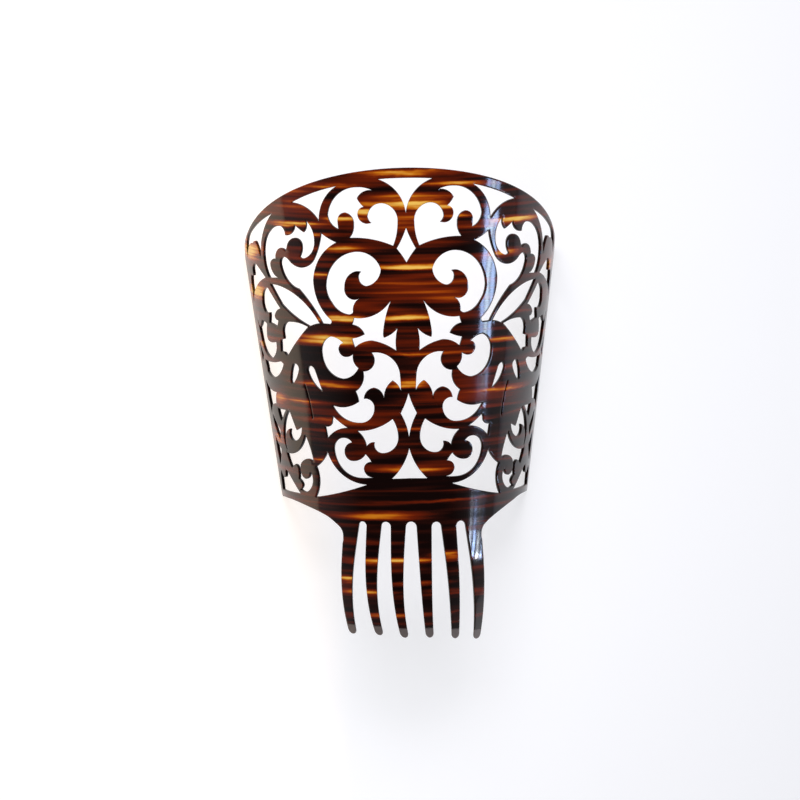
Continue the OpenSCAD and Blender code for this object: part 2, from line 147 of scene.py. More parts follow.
FOOT_SCROLL = [
    (29.8, -42.9, -0.42), (34, -48, -0.43), (29, -52.4, -0.27), (22.6, -48.8, 0.08),
    (19.6, -52.6, -0.4), (23.6, -56, -0.45), (18.3, -60.5, 0.05), (26, -60.8, 0.36),
    (40, -47.5, 0.48), (34, -40.8, 0.25)]
BASE_FAN = [
    (22.2, -64.3, 0.045), (52.9, -71.9, -0.28), (51.9, -56.4, -0.17), (44.2, -48.2, -0.3)]
BUD_PAIR = [
    (59, -40.2, 0.08), (53.5, -54, -0.2), (58.3, -52.8, -0.19), (63.5, -55.8, -0.2),
    (63.3, -61, -0.3), (59.8, -63.4, -0.3), (56.4, -60.8, 0), (55.6, -59.2, 0.1),
    (54.6, -63.5, 0.35), (60.3, -70, 0.1), (64.6, -69.1, -0.3), (62.6, -66.6, -0.25),
    (65.6, -63.8, -0.12), (65.6, -58.5, -0.35), (68.2, -56.4, -0.2), (71.4, -59, 0.1),
    (76.3, -51.2, -0.42)]
FOOT_CORNER = [
    (65.3, -71.4, 0), (87, -72, 0), (87.4, -64, 0.1), (85.6, -61.8, 0),
    (83.6, -65.2, -0.1), (80, -64.5, 0), (79.4, -60.6, 0.1), (77, -61.3, 0)]
SIDE_OPENINGS = (
    CREST_SCROLL, RIM_SPANDREL, SIDE_SCROLL, RIM_SLIVER, HEART_SCROLL, NECK_GAP, STAR_GAP,
    CRESCENT, BUD_SCROLL, LONG_LEAF, STEP_LEAF, FAN, FIN_LEAF, BOOT, EDGE_SLIT, CUP, SHIELD,
    INNER_DROP, OUTER_DROP, VEIN, FANG, EDGE_LEAF, EDGE_DART, HOOK_SCROLL, SMALL_HORN,
    LOBED_HEART, FOOT_SCROLL, BASE_FAN, BUD_PAIR, FOOT_CORNER)

# Right half of each opening on the centre line, from its foot to its head, same columns
CROWN = [(0, 73.2, -0.3), (13.8, 90.3, 0.02), (0, 90.8, 0)]
UPPER_DIAMOND = [(0, 48.3, -0.05), (4.8, 55.3, -0.05), (0, 65.6, 0)]
LOWER_DIAMOND = [(0, -40, -0.1), (4.1, -28, -0.06), (0, -17.9, 0)]
BASE_TRIANGLE = [(0, -61, 0), (9, -61.2, -0.15), (0, -45.8, 0)]
CENTRE_OPENINGS = (CROWN, UPPER_DIAMOND, LOWER_DIAMOND, BASE_TRIANGLE)

# Lower outline. Columns: distance from the centre line, level on the left, on the right.
SHOULDER = [
    (95, -76.5, -76.6), (85, -75.8, -75.6), (76, -75.6, -75.3), (70, -75.9, -75.9),
    (65, -76.5, -77.1), (60, -77.35, -78.4), (55, -78.4, -80.05), (51, -79.45, -81.6),
    (47.5, -80.6, -83.15), (44, -82.1, -85)]
# Columns: level, distance from the centre line on the left and on the right.
NECK = [
    (-93, 36, 39.45), (-90.2, 36, 39.55), (-88.4, 36.4, 40.2), (-87, 37.3, 41.2),
    (-85.7, 38.6, 43)]
# Tines from left to right. Columns: root x, splay, sweep of the tip, width and length factor
TINES = [
    (-31.1, -8.5, 3.6, 0.98, 0.99), (-18.8, -5.6, 5.4, 0.905, 0.985),
    (-6.2, -2.9, 5, 0.895, 1), (7, 1.2, 2.7, 0.895, 1), (20.1, 5.6, 1.8, 0.935, 1.02),
    (34.4, 8.3, 2.6, 1.09, 1.05)]

# Steps of an arc, of a tine's edge, of its round tip and of the head of a gap
ARC_STEP = math.radians(9)
TINE_STEPS = 40
TIP_STEPS = 10
HEAD_STEPS = 12
# Where two unit steps of an outline add up to less than this, it turns back on itself
TURN_BACK = 0.2
# Rows of points beside each outline, as shares of the polished edge's radius
EDGE_ROWS = (0.3, 1, 2.2)
# Least distance from every outline, as a share of a row's own distance and of the last row's
ROW_ROOM = 0.93
GRID_ROOM = 1.5
# Points of the blank that are nearer than this are one, in millimetres
WELD = 1e-5
# A sawn wall stays smooth where it bends by less than this
SHARP_ANGLE = math.radians(32)


def rgb(code):
    """Linear colour of an sRGB hex code."""
    values = []
    for i in (0, 2, 4):
        c = int(code[i:i + 2], 16) / 255
        values.append(c / 12.92 if c <= 0.04045 else ((c + 0.055) / 1.055) ** 2.4)
    return values


def colour(name, description, code):
    """A colour that can be changed in the panel, from its sRGB hex code."""
    return FloatVectorProperty(name=name, description=description, default=rgb(code),
                               subtype="COLOR", min=0, max=1)


class CombSizes(bpy.types.PropertyGroup):
    """Sizes of the sheet in millimetres, as in the CAD source, and its angles"""
    sheet_t: FloatProperty(
        name="Thickness", description="Thickness of the sheet", default=1.6)
    bend_r: FloatProperty(
        name="Bend radius", description="Outer radius of the bend at level zero", default=72.8)
    cone_a: FloatProperty(
        name="Cone angle", description="Half angle of the cone", default=math.radians(7.8),
        subtype="ANGLE")
    edge_a: FloatProperty(
        name="Edge angle", description="Angle round the cone to each side edge",
        default=math.radians(82), subtype="ANGLE")
    rim_top: FloatProperty(
        name="Rim top", description="Level of the rim's top", default=96)
    rim_r: FloatProperty(
        name="Rim radius", description="Radius of the rim's arch", default=168)
    corner_r: FloatProperty(
        name="Corner radius", description="Radius of the upper corners", default=14)
    foot_corner_r: FloatProperty(
        name="Foot radius", description="Radius of the lower corners", default=2.5)
    root_y: FloatProperty(
        name="Root level", description="Level of the tine roots", default=-85.8)
    root_lean: FloatProperty(
        name="Root lean", description="Drop of the roots per millimetre", default=0.027)
    # The solid's hooks are cut in flats, so its 58 mm tines end a little short of a curve
    tine_len: FloatProperty(
        name="Tine length", description="Mean length of a tine", default=57.94)
    tine_w: FloatProperty(
        name="Tine width", description="Mean half width at the root", default=4.35)
    tine_taper: FloatProperty(
        name="Tine taper", description="Half width lost from root to tip", default=2.1)
    tip_len: FloatProperty(
        name="Tip length", description="Length of the rounded tip", default=2.6)
    hook_r: FloatProperty(
        name="Hook radius", description="Outer radius of the tines' curve", default=100)
    hook_inner_r: FloatProperty(
        name="Inner hook radius", description="Inner radius of that curve", default=108)
    hook_y: FloatProperty(
        name="Hook level", description="Level where the curve starts", default=-100)
    middle_y: FloatProperty(
        name="Middle", description="Middle of the whole length at rest", default=-22.35)
    edge_r: FloatProperty(
        name="Polished edge", description="Radius of the polished edges", default=0.35)
    spacing: FloatProperty(
        name="Spacing", description="Longest step along a sawn outline", default=1.0)
    grid: FloatProperty(
        name="Grid", description="Spacing of the points inside the sheet", default=3.0)


class CombLook(bpy.types.PropertyGroup):
    """Colours of the acetate and the studio, and the strength of the lights"""
    ground: colour("Ground", "Darkest patches of the sheet", "110605")
    deep: colour("Deep brown", "Dark brown beside the darkest patches", "290d08")
    red: colour("Red-brown", "Middle tone of the sheet", "6a1f09")
    rust: colour("Rust", "Tone between the red-brown and the amber", "a0420c")
    amber: colour("Amber", "Body of the bright streaks", "d07a19")
    gold: colour("Gold", "Heart of the brightest streaks", "f8c75e")
    # Partly painted shade: the near black of the sawn walls stands for the sheet's own dark seen
    # through its width and for the shade in the cuts
    wall: colour("Sawn wall", "Walls of the cuts", "0d0705")
    # Painted highlight: the pale grey on the last few millimetres of the tines stands for the
    # light they catch
    matt_tip_sheen: colour("Frost", "Ground ends of the tines", "766b68")
    paper: colour("Paper", "Floor under the comb", "a9a9ae")
    glow: colour("Glow", "Light that comes through the paper", "f4f4f5")
    warm_glow: colour("Warm glow", "That light on the left", "ffe2c0")
    studio: colour("Studio", "Walls round the stage", "dfe0e4")
    high_light: FloatProperty(
        name="High light", description="Soft light beyond the rim", default=62, unit="POWER")
    low_light: FloatProperty(
        name="Low light", description="Soft light beyond the tines", default=26, unit="POWER")
    window_light: FloatProperty(
        name="Window", description="One whole pane of the window", default=0.75, unit="POWER")
    paper_glow: FloatProperty(
        name="Paper glow", description="Strength of the light through the paper", default=0.78)


class CombStage(bpy.types.PropertyGroup):
    """Place, view and lens of the camera"""
    camera_at: FloatVectorProperty(
        name="Camera", description="Place of the camera", default=(-0.14746, -0.05215, 3.02838),
        unit="LENGTH")
    target: FloatVectorProperty(
        name="Target", description="Point that the camera looks at",
        default=(-0.00387, 0.0029, 0.05), unit="LENGTH")
    roll: FloatProperty(
        name="Roll", description="Turn of the camera about its view",
        default=math.radians(-1.202), subtype="ANGLE")
    lens: FloatProperty(
        name="Lens", description="Focal length", default=265.3, unit="CAMERA")


# Outlines

def arc_points(start, end, bulge, spacing):
    """Points of one sawn arc from start to end, without end."""
    ax, ay = start[0], start[1]
    bx, by = end[0], end[1]
    chord = math.hypot(bx - ax, by - ay)
    turn = 4 * math.atan(bulge)
    steps = max(1, math.ceil(chord / spacing), math.ceil(abs(turn) / ARC_STEP))
    if bulge == 0:
        return [(ax + (bx - ax) * i / steps, ay + (by - ay) * i / steps)
                for i in range(steps)]
    off = 1 / math.tan(turn / 2) / 2
    cx = (ax + bx) / 2 - off * (by - ay)
    cy = (ay + by) / 2 + off * (bx - ax)
    points = []
    for i in range(steps):
        c, s = math.cos(turn * i / steps), math.sin(turn * i / steps)
        points.append((cx + (ax - cx) * c - (ay - cy) * s, cy + (ax - cx) * s + (ay - cy) * c))
    return points


def opening(rows, spacing):
    """Closed outline of one opening."""
    points = []
    for i, row in enumerate(rows):
        points += arc_points(row, rows[(i + 1) % len(rows)], row[2], spacing)
    return points


def mirrored_rows(half):
    """Knots of an opening on the centre line, from its right half."""
    left = [(-half[i][0], half[i][1], half[i - 1][2]) for i in range(len(half) - 1, 0, -1)]
    return half[:-1] + left


def subdivided(points, spacing):
    """The open line with no step longer than spacing."""
    result = []
    for a, b in zip(points, points[1:]):
        result += arc_points(a, b, 0, spacing)
    return result + [points[-1]]


def smooth_line(points, spacing):
    """A smooth line through given points."""
    ends = [points[0], *points, points[-1]]
    result = []
    for i in range(1, len(ends) - 2):
        p0, p1, p2, p3 = (Vector(ends[k]) for k in (i - 1, i, i + 1, i + 2))
        steps = max(2, math.ceil((p2 - p1).length / spacing))
        for k in range(steps):
            t = k / steps
            q = 0.5 * (2 * p1 + (p2 - p0) * t + (2 * p0 - 5 * p1 + 4 * p2 - p3) * t * t
                       + (3 * p1 - p0 - 3 * p2 + p3) * t ** 3)
            result.append((q.x, q.y))
    return result + [tuple(points[-1])]


def slant_at_zero(sizes):
    """Distance down the cone's slant from its apex to level zero."""
    return sizes.bend_r / math.sin(sizes.cone_a)


def tine_root(sizes, k):
    """Level of tine k's root."""
    return sizes.root_y - sizes.root_lean * TINES[k][0]


def tine_middle(k, u):
    """Distance of tine k's middle line from the comb's, at a share u of its length."""
    root_x, splay, sweep = TINES[k][:3]
    return root_x + splay * u + sweep * u ** 3


def tine_side(sizes, k, out):
    """Edge of tine k from root to tip, out -1 on its left and 1 on its right."""
    wide, length = TINES[k][3:]
    span = length * sizes.tine_len
    tip = sizes.tip_len / span
    us = [i / TINE_STEPS * (1 - tip) for i in range(TINE_STEPS)]
    us += [1 - tip * (1 - math.sin(math.pi / 2 * i / TIP_STEPS)) for i in range(TIP_STEPS + 1)]
    points = []
    for u in us:
        v = max(0.0, (u - 1) / tip + 1)
        half = wide * (sizes.tine_w - sizes.tine_taper * u) * math.sqrt(max(0.0, 1 - v * v))
        points.append((tine_middle(k, u) + out * half, tine_root(sizes, k) - span * u))
    return points


def gap_head(left, right):
    """Round head of the gap between two tine roots, from left to right."""
    r = (right[0] - left[0]) / 2
    points = []
    for i in range(1, HEAD_STEPS):
        t = math.pi * i / HEAD_STEPS
        share = (1 - math.cos(t)) / 2
        level = left[1] + share * (right[1] - left[1])
        points.append((left[0] + r * (1 - math.cos(t)), level + r * math.sin(t)))
    return points


def rim_and_corner(sizes):
    """Right half of the rim, from the top round the corner and down to the foot's corner."""
    slant0 = slant_at_zero(sizes)
    edge = sizes.edge_a * math.sin(sizes.cone_a)
    centre_y = sizes.rim_top - sizes.rim_r
    rim_end = edge + math.asin((slant0 + centre_y) * math.sin(edge) / sizes.rim_r)

    def on_rim(angle):
        return sizes.rim_r * math.sin(angle), centre_y + sizes.rim_r * math.cos(angle)

    turn = math.pi / 2 - rim_end + edge
    reach = sizes.corner_r * math.tan(turn / 2)
    arch_end = rim_end - reach / sizes.rim_r
    steps = math.ceil(arch_end * sizes.rim_r / sizes.spacing)
    points = [on_rim(arch_end * i / steps) for i in range(steps)]
    meet = on_rim(rim_end)
    low = (meet[0] - reach * math.sin(edge), meet[1] - reach * math.cos(edge))
    points += arc_points(on_rim(arch_end), low, -math.tan(turn / 4), sizes.spacing)
    foot_y = (SHOULDER[0][1] + SHOULDER[1][1]) / 2
    foot = ((foot_y + slant0) * math.tan(edge), foot_y)
    turn = math.pi / 2 - edge
    reach = sizes.foot_corner_r * math.tan(turn / 2)
    up = (foot[0] + reach * math.sin(edge), foot[1] + reach * math.cos(edge))
    inner = (foot[0] - reach, foot[1])
    points += arc_points(low, up, 0, sizes.spacing)
    points += arc_points(up, inner, -math.tan(turn / 4), sizes.spacing)
    return points + [inner]


def shoulder_and_neck(sizes, out):
    """From the foot's corner in to the outer tine, out -1 on the left and 1 on the right."""
    column = 1 if out < 0 else 2
    rows = [(out * row[0], row[column]) for row in SHOULDER[1:]]
    rows += [(out * row[column], row[0]) for row in reversed(NECK)]
    return smooth_line(rows, sizes.spacing)


def outer_outline(sizes):
    """The whole outer outline, clockwise from the top of the rim."""
    half = rim_and_corner(sizes)
    points = half + shoulder_and_neck(sizes, 1)
    last = len(TINES) - 1
    neck_y = NECK[0][0] - 1
    points += [p for p in subdivided(tine_side(sizes, last, 1), sizes.spacing) if p[1] < neck_y]
    for k in range(last, -1, -1):
        up = subdivided(tine_side(sizes, k, -1)[::-1], sizes.spacing)[1:]
        if k > 0:
            down = subdivided(tine_side(sizes, k - 1, 1), sizes.spacing)
            points += up + gap_head(down[0], up[-1])[::-1] + down
        else:
            points += [p for p in up if p[1] < neck_y]
    points += shoulder_and_neck(sizes, -1)[::-1]
    points += [(-x, y) for x, y in half[:0:-1]]
    return points


def signed_area(points):
    """Area of a closed outline, positive when it runs anticlockwise."""
    return sum(a[0] * b[1] - b[0] * a[1] for a, b in zip(points, points[1:] + points[:1])) / 2


def all_outlines(sizes):
    """Every sawn outline, each with the sheet on its left."""
    spacing = sizes.spacing
    loops = [opening(mirrored_rows(rows), spacing) for rows in CENTRE_OPENINGS]
    for rows in SIDE_OPENINGS:
        loop = opening(rows, spacing)
        loops += [loop, [(-x, y) for x, y in loop]]
    loops = [loop[::-1] if signed_area(loop) > 0 else loop for loop in loops]
    outer = outer_outline(sizes)
    return [outer[::-1] if signed_area(outer) < 0 else outer] + loops


# The blank

def outline_tree(loops):
    """Upright ribbons along all outlines, for finding the distance to the nearest."""
    points, faces = [], []
    for loop in loops:
        first = len(points)
        n = len(loop)
        points += [Vector((x, y, z)) for x, y in loop for z in (-1, 1)]
        for i in range(n):
            a, b = first + 2 * i, first + 2 * ((i + 1) % n)
            faces.append((a, b, b + 1, a + 1))
    return BVHTree.FromPolygons(points, faces)


def ring_points(loop, distance):
    """Points beside an outline, at one distance into the sheet."""
    n = len(loop)
    points = []
    for i in range(n):
        a, b, c = Vector(loop[i - 1]), Vector(loop[i]), Vector(loop[(i + 1) % n])
        along = (b - a).normalized() + (c - b).normalized()
        if along.length < TURN_BACK:
            continue
        along.normalize()
        points.append((b.x - distance * along.y, b.y + distance * along.x))
    return points


def sheet_points(sizes, loops):
    """Points and outline edges of the flat sheet, and each point's distance to an outline."""
    tree = outline_tree(loops)
    points, edges, distances = [], [], []
    for loop in loops:
        first = len(points)
        n = len(loop)
        points += [Vector(p) for p in loop]
        edges += [(first + i, first + (i + 1) % n) for i in range(n)]
        distances += [0.0] * n

    def add(x, y, least):
        near = tree.find_nearest(Vector((x, y, 0)))
        if near[3] >= least:
            points.append(Vector((x, y)))
            distances.append(near[3])

    rings = [share * sizes.edge_r for share in EDGE_ROWS]
    for distance in rings:
        for loop in loops:
            for x, y in ring_points(loop, distance):
                add(x, y, ROW_ROOM * distance)
    reach_x = max(p[0] for p in loops[0])
    top = max(p[1] for p in loops[0])
    low = min(p[1] for p in loops[0])
    rise = sizes.grid * math.sqrt(3) / 2
    for row in range(math.ceil((top - low) / rise)):
        y = low + row * rise
        x = -reach_x + (row % 2) * sizes.grid / 2
        while x < reach_x:
            add(x, y, GRID_ROOM * rings[-1])
            x += sizes.grid
    return points, edges, distances


def inside_triangles(triangles, cuts, count):
    """Triangles of the sheet itself: those reached from its inside without crossing a cut."""
    walls = {frozenset(cut) for cut in cuts}
    by_edge = {}
    for t, corners in enumerate(triangles):
        for i in range(3):
            by_edge.setdefault(frozenset((corners[i], corners[i - 1])), []).append(t)
    start = next(t for t, corners in enumerate(triangles) if min(corners) >= count)
    found = {start}
    queue = [start]
    while queue:
        corners = triangles[queue.pop()]
        for i in range(3):
            edge = frozenset((corners[i], corners[i - 1]))
            if edge in walls:
                continue
            for other in by_edge[edge]:
                if other not in found:
                    found.add(other)
                    queue.append(other)
    return [triangles[t] for t in sorted(found)]


def open_sides(faces):
    """Directed edges that only one face has, which are those along the cuts."""
    sides = {}
    for a, b, c in faces:
        for side in ((a, b), (b, c), (c, a)):
            if side[::-1] in sides:
                del sides[side[::-1]]
            else:
                sides[side] = True
    return list(sides)


def tine_of(sizes, x, y):
    """Number of the tine at a point below the roots, or None in the body."""
    if y > NECK[0][0]:
        return None

    def off(k):
        u = (tine_root(sizes, k) - y) / (TINES[k][4] * sizes.tine_len)
        return abs(tine_middle(k, u) - x)
    return min(range(len(TINES)), key=off)


def point_values(sizes, x, y, distance):
    """One point's rounding of the edge, share of sawn wall, tine's turn and way to its tip."""
    r = sizes.edge_r
    d = min(distance, r)
    lift = (r - math.sqrt(r * r - (r - d) ** 2)) * MM
    k = tine_of(sizes, x, y)
    if k is None:
        return lift, 1 - d / r, 0.0, 1.0
    root = tine_root(sizes, k)
    turn = math.atan2(TINES[k][0], root + slant_at_zero(sizes)) / math.sin(sizes.cone_a)
    return lift, 1 - d / r, turn, (y - root + TINES[k][4] * sizes.tine_len) * MM


def build_blank(sizes):
    """The flat sheet as a closed mesh with both faces and the sawn walls."""
    loops = all_outlines(sizes)
    points, edges, distances = sheet_points(sizes, loops)
    place, sides, triangles, origins, side_origins, _ = delaunay_2d_cdt(
        points, edges, [], 0, WELD)
    distances = [distances[ids[0]] if ids else 0.0 for ids in origins]
    cuts = [side for side, ids in zip(sides, side_origins) if ids]
    count = sum(len(loop) for loop in loops)
    triangles = inside_triangles([tuple(t) for t in triangles], cuts, count)
    used = sorted({i for corners in triangles for i in corners})
    number = {old: new for new, old in enumerate(used)}
    n = len(used)
    faces = [tuple(number[i] for i in corners) for corners in triangles]
    flat = [(place[i].x * MM, place[i].y * MM, 0) for i in used]
    inner = [(c + n, b + n, a + n) for a, b, c in faces]
    walls = [(b, a, a + n, b + n) for a, b in open_sides(faces)]
    mesh = bpy.data.meshes.new(BLANK_NAME)
    mesh.from_pydata(flat + flat, [], faces + inner + walls)
    rows = [point_values(sizes, place[i].x, place[i].y, distances[i]) for i in used]
    layers = dict(zip(("lift", "sawn", "tine_turn", "from_tip"), zip(*(rows + rows))))
    layers["side"] = [0.0] * n + [1.0] * n
    for name, values in layers.items():
        layer = mesh.attributes.new(name, "FLOAT", "POINT")
        layer.data.foreach_set("value", values)
    layer = mesh.attributes.new("flat_sheet", "FLOAT_VECTOR", "POINT")
    layer.data.foreach_set("vector", [c for p in flat + flat for c in p])
    return mesh


# The bend, as geometry nodes

def add_node(tree, kind, *values, named=None, **settings):
    """Add one node with its settings, and set or link its inputs in order and by name."""
    made = tree.nodes.new(kind)
    for key, value in settings.items():
        setattr(made, key, value)
    for key, value in [*enumerate(values), *(named or {}).items()]:
        if isinstance(value, bpy.types.Node):
            value = value.outputs[0]
        if isinstance(value, bpy.types.NodeSocket):
            tree.links.new(value, made.inputs[key])
        elif value is not None:
            made.inputs[key].default_value = value
    return made


def bend_tree(material):
    """Geometry nodes that bend the flat sheet to its cone and hook the tine ends."""
    tree = bpy.data.node_groups.new("bend_the_sheet", "GeometryNodeTree")
    face = tree.interface
    face.new_socket("Geometry", in_out="INPUT", socket_type="NodeSocketGeometry")
    for name in ("Bend Radius", "Cone Angle", "Thickness", "Hook Radius",
                 "Inner Hook Radius", "Hook Level", "Rest Tilt", "Rest Drop", "Middle"):
        face.new_socket(name, in_out="INPUT", socket_type="NodeSocketFloat")
    face.new_socket("Geometry", in_out="OUTPUT", socket_type="NodeSocketGeometry")
    node = partial(add_node, tree)
    given = {socket.name: socket for socket in node("NodeGroupInput").outputs if socket.name}
    stored = {name: node("GeometryNodeInputNamedAttribute", name).outputs["Attribute"]
              for name in ("side", "lift", "tine_turn")}
    # A flat point's distance down the cone's slant, and its turn round the axis
    cone, thickness = given["Cone Angle"], given["Thickness"]
    sin_cone = node(MATH, cone, operation="SINE")
    slant0 = node(MATH, given["Bend Radius"], sin_cone, operation="DIVIDE")
    apex = node("ShaderNodeCombineXYZ", 0, slant0)
    flat = node(VECTOR, node("GeometryNodeInputPosition"), apex, operation="ADD")
    slant = node(VECTOR, flat, operation="LENGTH").outputs["Value"]
    split = node("ShaderNodeSeparateXYZ", flat).outputs
    angle = node(MATH, split[0], split[1], operation="ARCTAN2")
    turn = node(MATH, angle, sin_cone, operation="DIVIDE")
    # Below the hook level both faces of a tine fall away from the cone along circles
    hook_slant = node(MATH, slant0, given["Hook Level"], operation="ADD")
    below = node(MATH, hook_slant, slant, operation="SUBTRACT")
    along = node(MATH, below, 0, operation="MAXIMUM")
    square = node(MATH, along, along, operation="MULTIPLY")
    sags = []
    for radius in (given["Hook Radius"], given["Inner Hook Radius"]):
        whole = node(MATH, radius, radius, operation="MULTIPLY")
        rest = node(MATH, whole, square, operation="SUBTRACT")
        sags.append(node(MATH, radius, node(MATH, rest, operation="SQRT"),
                         operation="SUBTRACT"))
    hook, inner_hook = sags
    # Depth under the outer face, with the polished edges rounded from both faces
    deeper = node(MATH, thickness, inner_hook, operation="ADD")
    wall = node(MATH, deeper, hook, operation="SUBTRACT")
    thinned = node(MATH, wall, thickness, operation="DIVIDE")
    lift = node(MATH, stored["lift"], thinned, operation="MULTIPLY")
    facing = node(MATH, stored["side"], -2, 1, operation="MULTIPLY_ADD")
    rounded = node(MATH, lift, facing, operation="MULTIPLY")
    depth = node(MATH, stored["side"], wall, rounded, operation="MULTIPLY_ADD")
    # The point and its hook start over the axis and are turned onto the cone
    parts = []
    for down, under, round_axis in ((slant, depth, turn), (0, hook, stored["tine_turn"])):
        part = node("ShaderNodeCombineXYZ", 0, down,
                    node(MATH, under, -1, operation="MULTIPLY"))
        for axis, by in (("X_AXIS", cone), ("Y_AXIS", round_axis)):
            part = node("ShaderNodeVectorRotate", part, named={"Angle": by},
                        rotation_type=axis)
        parts.append(part)
    bent = node(VECTOR, *parts, operation="ADD")
    cos_cone = node(MATH, cone, operation="COSINE")
    zero = node("ShaderNodeCombineXYZ", 0, node(MATH, slant0, cos_cone, operation="MULTIPLY"))
    level = node(VECTOR, bent, zero, operation="SUBTRACT")
    # The whole comb leans over until both side edges lie on the surface
    tilted = node("ShaderNodeVectorRotate", level, named={"Angle": given["Rest Tilt"]},
                  rotation_type="X_AXIS", invert=True)
    floor = node("ShaderNodeCombineXYZ", 0, given["Middle"], given["Rest Drop"])
    lying = node(VECTOR, tilted, floor, operation="SUBTRACT")
    moved = node("GeometryNodeSetPosition", given["Geometry"], named={"Position": lying})
    real = node("GeometryNodeRealizeInstances", moved)
    dressed = node("GeometryNodeSetMaterial", real, named={"Material": material})
    node("NodeGroupOutput", dressed)
    return tree


def rest_values(sizes):
    """Tilt and drop that lay both side edges on the surface."""
    tilt = math.atan(math.tan(sizes.cone_a) * math.cos(sizes.edge_a))
    wall = sizes.sheet_t / math.cos(sizes.cone_a)
    return tilt, (sizes.bend_r - wall) * math.cos(sizes.edge_a) * math.cos(tilt)


def finish_mesh(mesh):
    """Smooth shading, with only the sharp corners of the sawn walls left sharp."""
    work = bmesh.new()
    work.from_mesh(mesh)
    bmesh.ops.recalc_face_normals(work, faces=work.faces)
    for edge in work.edges:
        wall = all(len(face.verts) == 4 for face in edge.link_faces)
        edge.smooth = not (wall and edge.calc_face_angle(0.0) > SHARP_ANGLE)
    for face in work.faces:
        face.smooth = True
    work.to_mesh(mesh)
    work.free()


# Materials

# Streaks charted on the flat sheet. Columns: x, level, half length, half height, strength
STREAKS = [
    (0, 93.5, 26, 1.1, 0.9), (-40, 87, 22, 1, 0.75), (26, 88, 16, 0.8, 0.6),
    (0, 81.5, 24, 1, 0.45), (4, 76.8, 26, 1.5, 1), (-20, 73.6, 12, 1.1, 0.85),
    (-34, 69.5, 12, 1, 0.7), (-62, 66.5, 18, 1.1, 0.9), (66, 67.8, 22, 1.1, 0.75),
    (-55, 62.5, 26, 0.7, 0.65), (28, 70.6, 10, 0.8, 0.5), (-34, 55, 12, 1.2, 0.6),
    (54, 51, 13, 1.2, 0.8), (1, 45.8, 22, 0.9, 0.72), (-46, 42.5, 12, 1, 0.8),
    (-72, 37.5, 18, 0.9, 0.5), (2, 37, 26, 0.7, 0.3), (-36, 20, 16, 1.2, 0.95),
    (0, 20.6, 16, 1.1, 0.85), (66, 20.5, 16, 0.9, 0.55), (-42, 9.3, 22, 1.7, 1),
    (52, 6.6, 20, 1, 0.55), (0, 2, 20, 0.8, 0.5), (0, -12.4, 13, 1.8, 0.9),
    (-46, -14, 18, 0.9, 0.6), (56, -19, 26, 0.6, 0.5), (-62, -23.5, 16, 1, 0.5),
    (-48, -32, 20, 0.8, 0.45), (36, -33, 18, 0.9, 0.5), (0, -36.5, 24, 0.7, 0.5),
    (-46, -52.5, 12, 0.9, 0.5), (0, -56.3, 24, 1, 0.48), (16, -73, 34, 0.6, 0.5),
    (-20, -80.6, 24, 1.7, 0.6), (20, -100.4, 9, 1.4, 0.75), (-4, -103, 26, 1, 0.55),
    (-34, -112.6, 8, 1.6, 0.95), (0, -114.6, 24, 0.8, 0.5), (-26, -119.4, 16, 1, 0.7),
    (24, -120.4, 24, 1, 0.55), (4, -131, 44, 0.6, 0.45), (-103, 50, 12, 3.4, 1),
    (-98, 30, 12, 3.4, 1), (-92, 2, 12, 2.6, 0.9), (100, 40, 8, 2, 0.7),
    (-84, -45, 12, 2.4, 0.8), (-80, -24, 10, 2.6, 0.7),
    (2, 34, 34, 6, 0.28), (-60, 78, 20, 5, 0.28), (6, 70, 30, 5, 0.22), (10, -20, 30, 4, 0.2)]
# How much wider a streak is drawn than charted, for its soft edges
STREAK_SPREAD = 1.45
# Patterns drawn out along the sheet. Columns: name, length and height of their grain in
# millimetres, seed, detail, roughness
GRAINS = (
    ("wave", 38, 30, 1, 1, 0.55), ("ripple", 9, 4, 2, 2, 0.55), ("fine", 52, 1.5, 3, 1, 0.4),
    ("bands", 64, 3.4, 6, 1, 0.4), ("broad", 70, 9, 4, 1, 0.55), ("uneven", 14, 9, 5, 1, 0.55))
SEED_STEP = (7.3, 3.1, 1)
# What each pattern adds. Columns: name, its middle, gain
DRIFT = (("ripple", 0.5, 1.6), ("wave", 0.5, 3.15))
TONES = (("broad", 0.44, 0.7), ("bands", 0.42, 1), ("fine", 0.5, 0.32))
TIP_DRIFT = (("broad", 0.5, 2),)
# The fine pattern tears the streaks: gain and least share of a streak
TEAR = (0.9, 0.45)
# Tone gained per millimetre towards the rim, which is redder than the tines
LEVEL_TONE = 0.0007
# Share of an edge's rounding where the near black of the sawn wall starts, and its full strength;
# that near black is partly the sheet's own dark and partly painted shade
WALL_DARK_AND_SHADE_FROM, WALL_DARK_AND_SHADE_SHARE = 0.55, 0.9
# The rough tips and their painted highlight fade out between these distances from a tine's tip,
# in millimetres
MATT_TIP_SHEEN_END, MATT_TIP_SHEEN_FULL = 5.6, 4.6
# Share of the painted highlight's grey on the tips, and the roughness the tips gain
TIP_SHEEN_SHARE, FROST_ROUGH = 0.62, 0.35
POLISH_ROUGH, FINE_ROUGH = 0.07, 0.05
ACETATE_IOR = 1.5
# The hand-bent sheet is never quite even: depth in metres and strength of its waves
UNEVEN_DEPTH, UNEVEN_SHARE = 0.0004, 0.12


